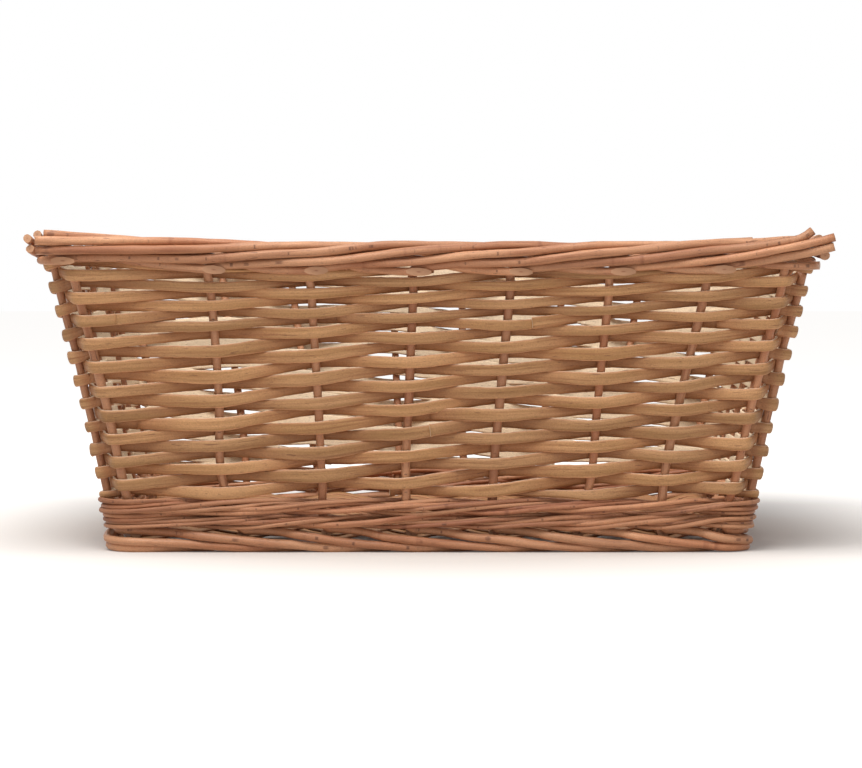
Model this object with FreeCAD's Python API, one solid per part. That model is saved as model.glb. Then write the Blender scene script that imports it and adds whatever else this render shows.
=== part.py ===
"""Wicker basket: a low oblong willow basket with flaring walls, open at the top and standing on a rolled foot.

Upright willow stakes carry everything. Each one folds into the foot border at its lower end, and at its upper
end lies down into the roped top border, where six strands turn round each other. Flat split bands are woven
plainly round the stakes, over a three-rod wale at the bottom of the wall, and the base is woven flat on crosswise
sticks.

The origin is the middle of the basket on the ground. X runs along the length, Y along the depth and Z is up.
Rods have a flat-sided section, which keeps several thousand bends light, and a rod's diameter is taken over its
corners.
"""
import FreeCAD, Part
import math
import os
from FreeCAD import Vector

# Plan of the stake line, which runs through the middle of the wall
FOOT_LENGTH = 314.0        # along X on the ground
FOOT_DEPTH = 214.0         # along Y on the ground
CORNER_RADIUS = 10.0
LONG_BAYS = 7              # spaces between the stakes of the front and of the back
SHORT_BAYS = 5             # spaces between the stakes of each end
FRONT_SHIFT = 0.28         # bays by which the inner stakes of the front stand to the right of even places
LEAN_LOW = 10.8            # degrees that the wall leans out below the knee
LEAN_HIGH = 12.7           # degrees that it leans out above the knee
KNEE_HEIGHT = 75.0

# Willow
STAKE_D = 4.1
WALE_D = 3.3
STICK_D = 5.0              # crosswise sticks of the base
BAND_THICKNESS = 2.2
BAND_BEVEL = 0.9           # width that the rounded bark side loses along each edge
CLEARANCE = 0.2            # between pieces that lie on each other
BEND_CLEARANCE = 0.25      # added to it where a band bends round a leaning stake
ROD_SIDES = 6              # flats of a rod's section
THIN_ROD_SIDES = 5         # flats of a wale rod's

# Siding, in rows from the bottom
WIDE_ROWS = 14
WIDE_BAND = 5.75
NARROW_ROWS = 6
NARROW_BAND = 4.65
SEAM_GAP = 0.4             # between the two ends of a row, behind a stake
BAND_ANGLE = 70.0          # degrees that a band may turn in one bend

# Wale
WALE_ROUNDS = 2
WALE_STRANDS = 3           # rods of one round
WALE_STANDOFF = 0.7        # how much further out a rod passes outside a stake, clear of those that cross there
START_COUNT = 4            # how many of its turns further on the rods of the next round start

# Base
BASE_BAND = 11.2
BASE_GAP = 0.3

# Top border
STRANDS_PER_TURN = 6
CORNER_RISE = 3.5          # how much higher the border stands at its corners
RISE_BAYS = 2.0            # bays from a corner in which the border comes down to its level
OUTER_END = 22.0           # how far the outermost of the strands that are cut runs past a corner
MIDDLE_END = 21.0
INNER_END = 8.0
CORNER_GAP = 0.8           # from those strands to the ends of the rods put in behind them
TOP_END_RISE = 2.0         # how much the last of them points up
TIP_ANGLE = 60.0           # degrees that a tip's cut leans from a square cut

# Places that a strand goes by, each as (bays on from its stake, outwards, upwards), the last two in stake
# spacings. Upwards is from the middle of the top border, and in the foot from the strands that lie on the ground.
# A strand's way out of the rope is in bays on from its last turn there.
ROPE_ENTRY = ((0.0, 0.0, -1.75), (0.25, 0.75, -1.3))
ROPE_EXIT = ((0.25, -0.4, -0.98), (0.5, 0.15, -1.5), (0.82, 1.1, -1.7), (1.08, 1.6, -1.7))
FOOT_PLACES = ((2.75, -0.8, 0.0), (2.5, 0.0, 0.0), (2.0, 1.0, 0.1), (1.0, 1.15, 1.15), (0.4, 0.75, 1.8))
FOLD_SHARE = 2.35          # height of the fold over the strands on the ground, in stake spacings
WALE_SHARE = 0.15          # from the fold to the lower side of the wale, in stake spacings
UPRIGHT_SHARE = 0.5        # from the fold to the lower end of an upright with no foot, in stake spacings

# Counts and shares that follow from these
CORNER_SHARE = 0.15        # part of a bay, on each side of a corner's middle, that the round corner takes
CORNER_ENDS = (OUTER_END, MIDDLE_END, INNER_END)
SIDES = (LONG_BAYS, SHORT_BAYS, LONG_BAYS, SHORT_BAYS)   # front, right, back, left
SIDE_NAMES = ("front", "right", "back", "left")
STATIONS = sum(SIDES)      # places round the basket; both stakes of a corner stand at one of them
CORNERS = (0, LONG_BAYS, LONG_BAYS + SHORT_BAYS, 2 * LONG_BAYS + SHORT_BAYS)
SPACING = STAKE_D + CLEARANCE                            # between the middles of stakes that lie side by side
ROD_FLAT = math.cos(math.pi / ROD_SIDES)                 # a section's flats lie this share of its radius out


def wall_out(z):
    """Distance that the wall has leaned outwards at height z."""
    low = math.tan(math.radians(LEAN_LOW))
    high = math.tan(math.radians(LEAN_HIGH))
    return min(z, KNEE_HEIGHT) * low + max(z - KNEE_HEIGHT, 0.0) * high


def lean(z):
    """Lean of the wall at height z, in degrees."""
    return LEAN_LOW if z < KNEE_HEIGHT else LEAN_HIGH


def travel(side):
    """Direction in which a side is walked, anticlockwise seen from above."""
    angle = math.radians(90 * side)
    return Vector(math.cos(angle), math.sin(angle), 0)


def ring(u, out, z):
    """Point beside the wall.

    u counts stations anticlockwise from the front left corner, out is measured outwards from the stake line and
    z is the height. The round corner lies within CORNER_SHARE of a corner's station.
    """
    u %= STATIONS
    side = 0
    while u >= SIDES[side]:
        u -= SIDES[side]
        side += 1
    bays = SIDES[side]
    shift = 0.0 if side else FRONT_SHIFT
    turn = 0.0
    if u < CORNER_SHARE:
        share = 0.0
        turn = -math.pi / 4 * (1 - u / CORNER_SHARE)
    elif u > bays - CORNER_SHARE:
        share = 1.0
        turn = math.pi / 4 * (1 - (bays - u) / CORNER_SHARE)
    elif u < 1:
        share = (1 + shift) * (u - CORNER_SHARE) / (1 - CORNER_SHARE) / bays
    elif u > bays - 1:
        share = 1 - (1 - shift) * (bays - CORNER_SHARE - u) / (1 - CORNER_SHARE) / bays
    else:
        share = (u + shift) / bays
    along, across = (FOOT_LENGTH, FOOT_DEPTH) if side % 2 == 0 else (FOOT_DEPTH, FOOT_LENGTH)
    length = along + 2 * wall_out(z) - 2 * CORNER_RADIUS
    reach = across / 2 + wall_out(z) - CORNER_RADIUS
    forward = travel(side)
    outward = Vector(forward.y, -forward.x, 0)
    radius = CORNER_RADIUS + out
    point = forward * ((share - 0.5) * length + radius * math.sin(turn))
    point += outward * (reach + radius * math.cos(turn))
    return Vector(point.x, point.y, z)


def follow(stops):
    """Points of a path that goes by stops (u, out, z) and rounds the corners between them."""
    points = [ring(*stops[0])]
    for start, end in zip(stops, stops[1:]):
        span = end[0] - start[0]
        turns = []
        for lap in (-STATIONS, 0, STATIONS, 2 * STATIONS):
            for corner in CORNERS:
                for u in (corner - CORNER_SHARE, corner, corner + CORNER_SHARE):
                    if span and 0.02 < (u + lap - start[0]) / span < 0.98:
                        turns.append((u + lap - start[0]) / span)
        for share in sorted(turns):
            points.append(ring(*(a + (b - a) * share for a, b in zip(start, end))))
        points.append(ring(*end))
    return points


def mitred(path, section, last_plane=None):
    """Solid of a flat-sided section carried along straight runs, which are mitred where they meet.

    section is a closed outline through the path's first point, square to its first run. last_plane is the normal
    of the end cut, which is square without it.
    """
    rings = [section]
    for i in range(1, len(path)):
        run = (path[i] - path[i - 1]).normalize()
        plane = last_plane or run
        if i + 1 < len(path):
            plane = run + (path[i + 1] - path[i]).normalize()
        rings.append([p + run * ((path[i] - p).dot(plane) / run.dot(plane)) for p in rings[-1]])
    faces = [Part.Face(Part.makePolygon(outline + outline[:1])) for outline in (rings[0], rings[-1])]
    count = len(section)
    for near, far in zip(rings, rings[1:]):
        for k in range(count):
            after = (k + 1) % count
            faces.append(Part.Face(Part.makePolygon([near[k], near[after], far[after], far[k], near[k]])))
    shell = Part.makeShell(faces)
    shell.sewShape()
    solid = Part.makeSolid(shell)
    if solid.Volume < 0:
        solid.reverse()
    return solid


def rod(path, diameter, tip_angle=0.0, sides=ROD_SIDES):
    """Solid rod with a flat-sided section whose first run lies on a flat, and whose end may be cut slanting."""
    first = (path[1] - path[0]).normalize()
    beside = first.cross(Vector(0, 0, 1))
    if beside.Length < 0.01:
        beside = Vector(1, 0, 0)
    beside.normalize()
    above = beside.cross(first)
    angles = [2 * math.pi * (k + 0.5) / sides - math.pi / 2 for k in range(sides)]
    section = [path[0] + (beside * math.cos(a) + above * math.sin(a)) * (diameter / 2) for a in angles]
    last = (path[-1] - path[-2]).normalize()
    outward = last.cross(Vector(0, 0, 1))
    slant = math.radians(tip_angle)
    plane = last * math.cos(slant) + outward * math.sin(slant) if tip_angle else None
    return mitred(path, section, plane)


def band(path, width, tilt):
    """Solid split band: flat on its inner side, bevelled on its bark side and leaning outwards by tilt degrees."""
    first = (path[1] - path[0]).normalize()
    outward = first.cross(Vector(0, 0, 1)).normalize()
    upward = outward.cross(first)
    half = BAND_THICKNESS / 2
    edge = width / 2
    outline = ((-half, -edge), (half, BAND_BEVEL - edge), (half, edge - BAND_BEVEL), (-half, edge))
    cos, sin = math.cos(math.radians(tilt)), math.sin(math.radians(tilt))
    section = [path[0] + outward * (a * cos + b * sin) + upward * (b * cos - a * sin) for a, b in outline]
    return mitred(path, section)


def taut(posts, sides, reach, start=None, end=None):
    """Bends of a band that runs straight between round posts, and bends round each.

    posts are points in a plane, walked in order; sides says +1 where the band passes to the right of a post and
    -1 where it passes to the left; reach is from a post's middle to the band's. start and end are the headings,
    in radians, with which an open row arrives and leaves; without them the row is closed. Gives one list for each
    post.
    """
    count = len(posts)
    headings = []
    for i in range(count - (start is not None)):
        gap = posts[(i + 1) % count] - posts[i]
        swing = math.asin((sides[i] - sides[(i + 1) % count]) * reach / gap.Length)
        headings.append(math.atan2(gap.y, gap.x) + swing)
    if start is not None:
        headings.append(end)
    arriving = [start if start is not None else headings[-1]] + headings[:-1]
    bends = []
    for post, side, before, after in zip(posts, sides, arriving, headings):
        turn = (after - before + math.pi) % (2 * math.pi) - math.pi
        steps = max(1, math.ceil(abs(turn) / math.radians(BAND_ANGLE)))
        step = turn / steps
        distance = side * reach / math.cos(step / 2)
        angles = [before + (k + 0.5) * step for k in range(steps)]
        bends.append([post + Vector(math.sin(a), -math.cos(a), 0) * distance for a in angles])
    return bends


# Heights, from the ground up
FOOT_LOW = STAKE_D / 2 * ROD_FLAT                        # middle of the strands that lie on the ground
FOLD_HEIGHT = FOOT_LOW + FOLD_SHARE * SPACING             # where a stake folds out into the foot border
WALE_LAYER = WALE_D + 2 * CLEARANCE                      # between strands of the wale that lie on each other
WALE_BOTTOM = FOLD_HEIGHT + WALE_SHARE * SPACING
WALE_TOP = WALE_BOTTOM + 2 * WALE_LAYER * WALE_ROUNDS
BAND_REACH = STAKE_D / 2 + BAND_THICKNESS / 2 + CLEARANCE + BEND_CLEARANCE
BAND_DROP = BAND_REACH * math.sin(math.radians(LEAN_LOW))
BAND_BASE = WALE_TOP + BAND_DROP + CLEARANCE             # lower edge of the siding, where it crosses the stake line
BAND_TOP = BAND_BASE + WIDE_ROWS * (WIDE_BAND + CLEARANCE) + NARROW_ROWS * (NARROW_BAND + CLEARANCE)
ROPE_RADIUS = SPACING / math.cos(math.pi / STRANDS_PER_TURN)
ROPE_OUT = ROPE_RADIUS / 2                               # middle of the border, outwards from the stake line
TIP_DROP = -ROPE_EXIT[-1][2] * SPACING                   # middle of a tip, below the middle of the border
ROPE_HEIGHT = BAND_TOP + TIP_DROP + STAKE_D / 2 + CLEARANCE
STICK_HEIGHT = STAKE_D * ROD_FLAT + 2 * CLEARANCE + BAND_THICKNESS + STICK_D / 2 + CLEARANCE

WALE_INSIDE = STAKE_D / 2 + WALE_D / 2 + CLEARANCE       # from the stake line to a wale strand inside
WALE_OUTSIDE = WALE_INSIDE + WALE_STANDOFF
BASE_REACH = STICK_D / 2 + BAND_THICKNESS / 2 + CLEARANCE
BASE_MARGIN = WALE_INSIDE + WALE_D / 2 + CLEARANCE       # from the stake line to the edge of the base weave


def stake_places():
    """Station of each stake, anticlockwise from the first of the front; corners have a stake on each side."""
    places = []
    for corner, bays in zip(CORNERS, SIDES):
        places.append(corner + CORNER_SHARE)
        places += [corner + k for k in range(1, bays)]
        places.append(corner + bays - CORNER_SHARE)
    return places


def rope_height(u):
    """Height of the border's middle, which rises towards each corner."""
    nearest = min(abs((u - c + STATIONS / 2) % STATIONS - STATIONS / 2) for c in CORNERS)
    return ROPE_HEIGHT + CORNER_RISE * max(0.0, 1 - nearest / RISE_BAYS) ** 2


def by_wall(square, along, z, tilt):
    """Distance outwards and height of a place square to a leaning wall and along it, from height z on it."""
    cos, sin = math.cos(math.radians(tilt)), math.sin(math.radians(tilt))
    return square / cos, z + along * cos - square * sin


def rope_place(t):
    """Place of a border strand in the rope t bays after its stake: square to the wall, and up along it."""
    angle = 2 * math.pi * t / STRANDS_PER_TURN - math.pi / 2
    return ROPE_OUT + ROPE_RADIUS * math.cos(angle), ROPE_RADIUS * math.sin(angle)


def strand_line():
    """Places that a border strand goes by, as (bays after its stake, square to the wall, up along the wall)."""
    last = STRANDS_PER_TURN - 1
    line = [(t, out * SPACING, up * SPACING) for t, out, up in ROPE_ENTRY]
    line += [(t, *rope_place(t)) for t in [0.5, *range(1, last + 1)]]
    return line + [(last + t, out * SPACING, up * SPACING) for t, out, up in ROPE_EXIT]


def strand_place(t):
    """Place of a border strand t bays after its stake."""
    line = strand_line()
    for (t0, out0, z0), (t1, out1, z1) in zip(line, line[1:]):
        if t <= t1:
            share = max(0.0, t - t0) / (t1 - t0)
            return out0 + (out1 - out0) * share, z0 + (z1 - z0) * share
    return line[-1][1:]


def strand_stops(station, first, last=None):
    """Stops of a station's border strand, from first to last in bays after it, or to its tip without last."""
    bends = [t for t, _, _ in strand_line()]
    last = bends[-1] if last is None else last
    bays = [first] + [t for t in bends if first + 0.05 < t < last - 0.05] + [last]
    return [(station + t, *by_wall(*strand_place(t), rope_height(station + t), LEAN_HIGH)) for t in bays]


def border_path(station, place):
    """Path of a stake's border strand; before a corner the outer strands run straight on and end."""
    for corner in CORNERS:
        k = (corner - station) % STATIONS
        if 1 <= k <= len(CORNER_ENDS):
            path = follow(strand_stops(station, place - station, k - CORNER_SHARE))
            side = (CORNERS.index(corner) - 1) % 4
            end = path[-1] + travel(side) * CORNER_ENDS[k - 1]
            end.z += TOP_END_RISE if k == len(CORNER_ENDS) else 0.0
            return path + [end]
    return follow(strand_stops(station, place - station))


def corner_rod(corner, k):
    """Rod put in behind a corner, in the place of the strand that was cut k bays after its stake."""
    start = k + CORNER_SHARE
    path = follow(strand_stops(corner - k, start))
    out = strand_place(k - CORNER_SHARE)[0]
    back = CORNER_RADIUS + out - STAKE_D / 2 - CORNER_GAP
    return rod([path[0] - travel(CORNERS.index(corner)) * back] + path, STAKE_D, TIP_ANGLE)


def foot_path(station, place):
    """Path of a stake's lower end, from its tip inside the foot border up to its fold."""
    stops = [(station + t, out * SPACING, FOOT_LOW + up * SPACING) for t, out, up in FOOT_PLACES]
    return follow(stops + [(place, 0.0, FOLD_HEIGHT)])


def stake(place):
    """One stake: foot strand, upright length and border strand. The second of a corner is only upright."""
    station = round(place)
    if place > station:
        heights = (FOLD_HEIGHT + UPRIGHT_SHARE * SPACING, KNEE_HEIGHT, BAND_TOP)
        return rod([ring(place, 0, z) for z in heights], STAKE_D)
    upright = [ring(place, 0, KNEE_HEIGHT)]
    is_cut = any(1 <= (corner - station) % STATIONS <= len(CORNER_ENDS) for corner in CORNERS)
    path = foot_path(station, place) + upright + border_path(station, place)
    return rod(path, STAKE_D, 0.0 if is_cut else TIP_ANGLE)


def seamed(path):
    """Path with half of the seam's gap taken off each of its ends."""
    first = path[0] + (path[1] - path[0]).normalize() * (SEAM_GAP / 2)
    last = path[-1] + (path[-2] - path[-1]).normalize() * (SEAM_GAP / 2)
    return [first] + path[1:-1] + [last]


def siding_row(row, places):
    """One row of siding: a band woven plainly round the stakes, with its two ends behind a stake.

    It lies square to the leaning wall, so it passes lower outside a stake than inside one.
    """
    wide = min(row, WIDE_ROWS)
    width = WIDE_BAND if row < WIDE_ROWS else NARROW_BAND
    z = BAND_BASE + wide * (WIDE_BAND + CLEARANCE) + (row - wide) * (NARROW_BAND + CLEARANCE) + width / 2
    sides = [1 if (i + row) % 2 else -1 for i in range(len(places))]
    singles = [i for i, place in enumerate(places) if sides[i] < 0 and place == round(place)]
    seam = singles[7 * row % len(singles)]
    order = list(range(seam, len(places))) + list(range(seam))
    sides = [sides[i] for i in order]
    posts = [Vector(p.x, p.y, 0) for p in (ring(places[i], 0, z) for i in order)]
    drop = BAND_REACH * math.sin(math.radians(lean(z)))
    bends = []
    for side, group in zip(sides, taut(posts, sides, BAND_REACH)):
        bends += [p + Vector(0, 0, z - side * drop) for p in group]
    return band(seamed(bends + bends[:1]), width, lean(z))


def wale_start(strand, course):
    """Station behind which a rod of the wale starts; the rods of a round start side by side."""
    turn = WALE_STRANDS - 1
    behind = [u for u in range(STATIONS) if (u - strand) % WALE_STRANDS == turn and u not in CORNERS]
    return behind[START_COUNT * course % len(behind)]


def wale_rod(strand, course):
    """One rod of one round of the wale: outside two stations, low and then high, and behind the third.

    It ends where the rod starts that is in step with it after a round, which is the same rod where the stations
    divide evenly among the rods.
    """
    half = WALE_LAYER / 2
    passes = (
        (WALE_OUTSIDE, -half, None),     # outside and low; goes on outside to the next station
        (WALE_OUTSIDE, half, half),      # outside and high; then goes in over the rod that comes out
        (-WALE_INSIDE, 0.0, -half),      # behind; then comes out under the rod that goes in
    )
    z = WALE_BOTTOM + WALE_LAYER * (1 + 2 * course)
    first = wale_start(strand, course)
    last = STATIONS + wale_start((strand - STATIONS) % WALE_STRANDS, course)
    stops = []
    for station in range(first, last):
        square, along, crossing = passes[(station - strand) % WALE_STRANDS]
        share = CORNER_SHARE if station % STATIONS in CORNERS else 0.0
        stops += [(u, *by_wall(square, along, z, LEAN_LOW)) for u in sorted({station - share, station + share})]
        if crossing is not None:
            after = station + 1 - (CORNER_SHARE if (station + 1) % STATIONS in CORNERS else 0.0)
            stops.append(((station + share + after) / 2, *by_wall(0.0, crossing, z, LEAN_LOW)))
    stops.append((last, *stops[0][1:]))
    return rod(seamed(follow(stops)), WALE_D, sides=THIN_ROD_SIDES)


def base_stick(place):
    """Crosswise stick of the base, which ends at the stakes of the front and of the back."""
    front = ring(place, -(STAKE_D / 2 + CLEARANCE), STICK_HEIGHT)
    return rod([front, Vector(front.x, -front.y, front.z)], STICK_D)


def base_band(row, rows, places):
    """Lengthwise band of the base, woven over and under the sticks."""
    y = (row - (rows - 1) / 2) * (BASE_BAND + BASE_GAP)
    posts = [Vector(ring(place, 0, STICK_HEIGHT).x, STICK_HEIGHT, 0) for place in places]
    sides = [1 if (i + row) % 2 else -1 for i in range(len(posts))]
    bends = [p for group in taut(posts, sides, BASE_REACH, 0.0, 0.0) for p in group]
    end = FOOT_LENGTH / 2 + wall_out(WALE_BOTTOM) - BASE_MARGIN
    bends = [Vector(-end, bends[0].y, 0)] + bends + [Vector(end, bends[-1].y, 0)]
    path = [Vector(p.x, y, p.y) for p in bends]
    half, edge = BAND_THICKNESS / 2, BASE_BAND / 2
    outline = ((-edge, -half), (edge, -half), (edge - BAND_BEVEL, half), (BAND_BEVEL - edge, half))
    return mitred(path, [path[0] + Vector(0, a, b) for a, b in outline])


def write(name, solids):
    """Write one node's solids to its STEP file."""
    shape = solids[0] if len(solids) == 1 else Part.makeCompound(solids)
    shape.exportStep(f"parts/{name}.step")
    print(name, len(solids), "solids", round(shape.Volume), "mm3", "valid" if shape.isValid() else "NOT VALID")


def main():
    """Build every piece of the basket and write it."""
    os.makedirs("parts", exist_ok=True)
    places = stake_places()
    index = 0
    for name, bays in zip(SIDE_NAMES, SIDES):
        for number in range(1, bays + 2):
            write(f"stake_{name}_{number}", [stake(places[index])])
            index += 1
    for row in range(WIDE_ROWS + NARROW_ROWS):
        write(f"siding_row_{row + 1:02d}", [siding_row(row, places)])
    for strand in range(WALE_STRANDS):
        write(f"wale_rods_{strand + 1}", [wale_rod(strand, course) for course in range(WALE_ROUNDS)])
    for corner, name in zip(CORNERS, ("front_left", "front_right", "back_right", "back_left")):
        write(f"corner_rods_{name}", [corner_rod(corner, k + 1) for k in range(len(CORNER_ENDS))])
    front = places[: LONG_BAYS + 1]
    write("base_sticks", [base_stick(place) for place in front])
    depth = FOOT_DEPTH + 2 * wall_out(WALE_BOTTOM) - 2 * BASE_MARGIN
    rows = int((depth + BASE_GAP) / (BASE_BAND + BASE_GAP))
    bands = [base_band(row, rows, front) for row in range(rows)]
    write("base_weavers_a", bands[::2])
    write("base_weavers_b", bands[1::2])


main()
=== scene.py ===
"""Looks of a low oblong willow basket: each rod and split band as its own surface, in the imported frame.

The basket is woven as a maker weaves it. Stakes fold out of the foot border, stand up through the siding and
lie down into the roped top border; split bands climb round them, over a three-rod wale, and the base is woven
flat. Each piece is a profile carried along a path, worked out with numpy as whole arrays. Sizes inside the
classes are in millimetres; a mesh is made in metres.
"""

import logging
import math
from dataclasses import dataclass, field
from enum import Enum

import bpy
import numpy as np
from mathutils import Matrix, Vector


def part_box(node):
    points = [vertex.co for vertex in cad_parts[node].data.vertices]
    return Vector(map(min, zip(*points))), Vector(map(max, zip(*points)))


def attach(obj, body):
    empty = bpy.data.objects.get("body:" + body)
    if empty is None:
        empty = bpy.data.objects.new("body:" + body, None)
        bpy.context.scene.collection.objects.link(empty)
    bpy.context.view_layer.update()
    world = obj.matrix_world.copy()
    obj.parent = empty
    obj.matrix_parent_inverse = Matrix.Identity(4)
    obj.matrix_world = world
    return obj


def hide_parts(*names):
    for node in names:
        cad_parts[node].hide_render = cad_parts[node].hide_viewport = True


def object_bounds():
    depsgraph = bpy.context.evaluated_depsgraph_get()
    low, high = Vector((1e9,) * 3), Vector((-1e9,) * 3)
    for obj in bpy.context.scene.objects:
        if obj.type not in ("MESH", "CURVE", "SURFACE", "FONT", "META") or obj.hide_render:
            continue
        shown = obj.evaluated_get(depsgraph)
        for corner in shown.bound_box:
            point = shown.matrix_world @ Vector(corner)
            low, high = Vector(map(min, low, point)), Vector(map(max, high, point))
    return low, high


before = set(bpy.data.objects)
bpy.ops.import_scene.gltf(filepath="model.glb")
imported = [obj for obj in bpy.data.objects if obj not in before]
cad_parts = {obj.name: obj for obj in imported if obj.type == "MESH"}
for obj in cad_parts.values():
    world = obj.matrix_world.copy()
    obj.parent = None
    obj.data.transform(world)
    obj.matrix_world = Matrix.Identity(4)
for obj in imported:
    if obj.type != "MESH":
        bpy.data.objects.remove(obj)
CAD_BOUNDS = [list(corner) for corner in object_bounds()]
LOG = logging.getLogger("basket")
MM = 0.001
Array = np.ndarray
Marks = dict[str, np.ndarray]
Stops = tuple[tuple[float, float, float], ...]


class Slot(Enum):
    """Slot names of the two kinds of willow."""

    ROUND = "round_willow"
    SPLIT = "split_willow"


class Seed(Enum):
    """Starting numbers of the irregularities of each kind of piece."""

    SIDING = 11
    STAKES = 23
    WALE = 37
    CORNERS = 41
    BASE = 53
    STRAY = 3760


def waver(where: Array, lengths: tuple[float, ...], rng: np.random.Generator) -> Array:
    """Smooth irregular wave along a piece, between about -1 and 1.

    It is the sum of one sine for each wavelength, each with its own random start, over the root of their
    number.

    Args:
        where: Distances along the piece, in mm.
        lengths: Wavelengths, in mm.
        rng: Source of the random starts.

    Returns:
        The wave at each distance.
    """
    total = np.zeros_like(where)
    for length in lengths:
        total += np.sin(2 * np.pi * (where / length + rng.random()))
    return total / math.sqrt(len(lengths))


def saw(step: Array) -> Array:
    """Rounded saw wave, -1 at even steps and 1 at odd ones: a cosine and a ninth of its third harmonic."""
    return -(np.cos(np.pi * step) + np.cos(3 * np.pi * step) / 9) / (10 / 9)


def unit(vectors: Array) -> Array:
    """Vectors scaled to length one."""
    return vectors / np.maximum(np.linalg.norm(vectors, axis=-1, keepdims=True), 1e-9)


def run_length(points: Array) -> Array:
    """Distance along a line of points, from its first."""
    steps = np.linalg.norm(np.diff(points, axis=0), axis=1)
    return np.concatenate([[0.0], np.cumsum(steps)])


def smooth_line(stops: Array, spacing: float) -> Array:
    """Smooth curve through stops, sampled at an even spacing.

    It is a centripetal Catmull-Rom curve: each span between two stops is a cubic whose end slopes come from
    the stops on both sides, with the curve's parameter growing by the root of the distance between stops.

    Args:
        stops: Points to pass through, one row each.
        spacing: Distance between the samples.

    Returns:
        Points along the curve, one row each.
    """
    ends = np.vstack([2 * stops[0] - stops[1], stops, 2 * stops[-1] - stops[-2]])
    knots = np.concatenate([[0.0], np.cumsum(np.linalg.norm(np.diff(ends, axis=0), axis=1) ** 0.5)])
    counts = np.maximum(4, np.linalg.norm(np.diff(stops, axis=0), axis=1) // (0.25 * spacing)).astype(int)
    span = np.repeat(np.arange(len(counts)), counts)
    share = np.concatenate([np.arange(count) / count for count in counts])
    p0, p1, p2, p3 = (ends[span + k] for k in range(4))
    t0, t1, t2, t3 = (knots[span + k][:, None] for k in range(4))
    t = t1 + (t2 - t1) * share[:, None]
    a1 = (t1 - t) / (t1 - t0) * p0 + (t - t0) / (t1 - t0) * p1
    a2 = (t2 - t) / (t2 - t1) * p1 + (t - t1) / (t2 - t1) * p2
    a3 = (t3 - t) / (t3 - t2) * p2 + (t - t2) / (t3 - t2) * p3
    b1 = (t2 - t) / (t2 - t0) * a1 + (t - t0) / (t2 - t0) * a2
    b2 = (t3 - t) / (t3 - t1) * a2 + (t - t1) / (t3 - t1) * a3
    curve = np.vstack([(t2 - t) / (t2 - t1) * b1 + (t - t1) / (t2 - t1) * b2, stops[-1:]])
    return resample(curve, spacing)


def resample(points: Array, spacing: float) -> Array:
    """Points at an even spacing along a line of closer ones.

    Args:
        points: The closer points, one row each.
        spacing: Distance between the new ones.

    Returns:
        The new points, at least three.
    """
    along = run_length(points)
    even = np.linspace(0.0, along[-1], max(3, int(round(along[-1] / spacing)) + 1))
    return np.stack([np.interp(even, along, column) for column in points.T], axis=1)


def level_across(values: Array, rings: Array) -> Array:
    """Values of the places of a path, given to every point of their profiles."""
    return np.repeat(values[:, None], rings.shape[1], axis=1)


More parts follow.
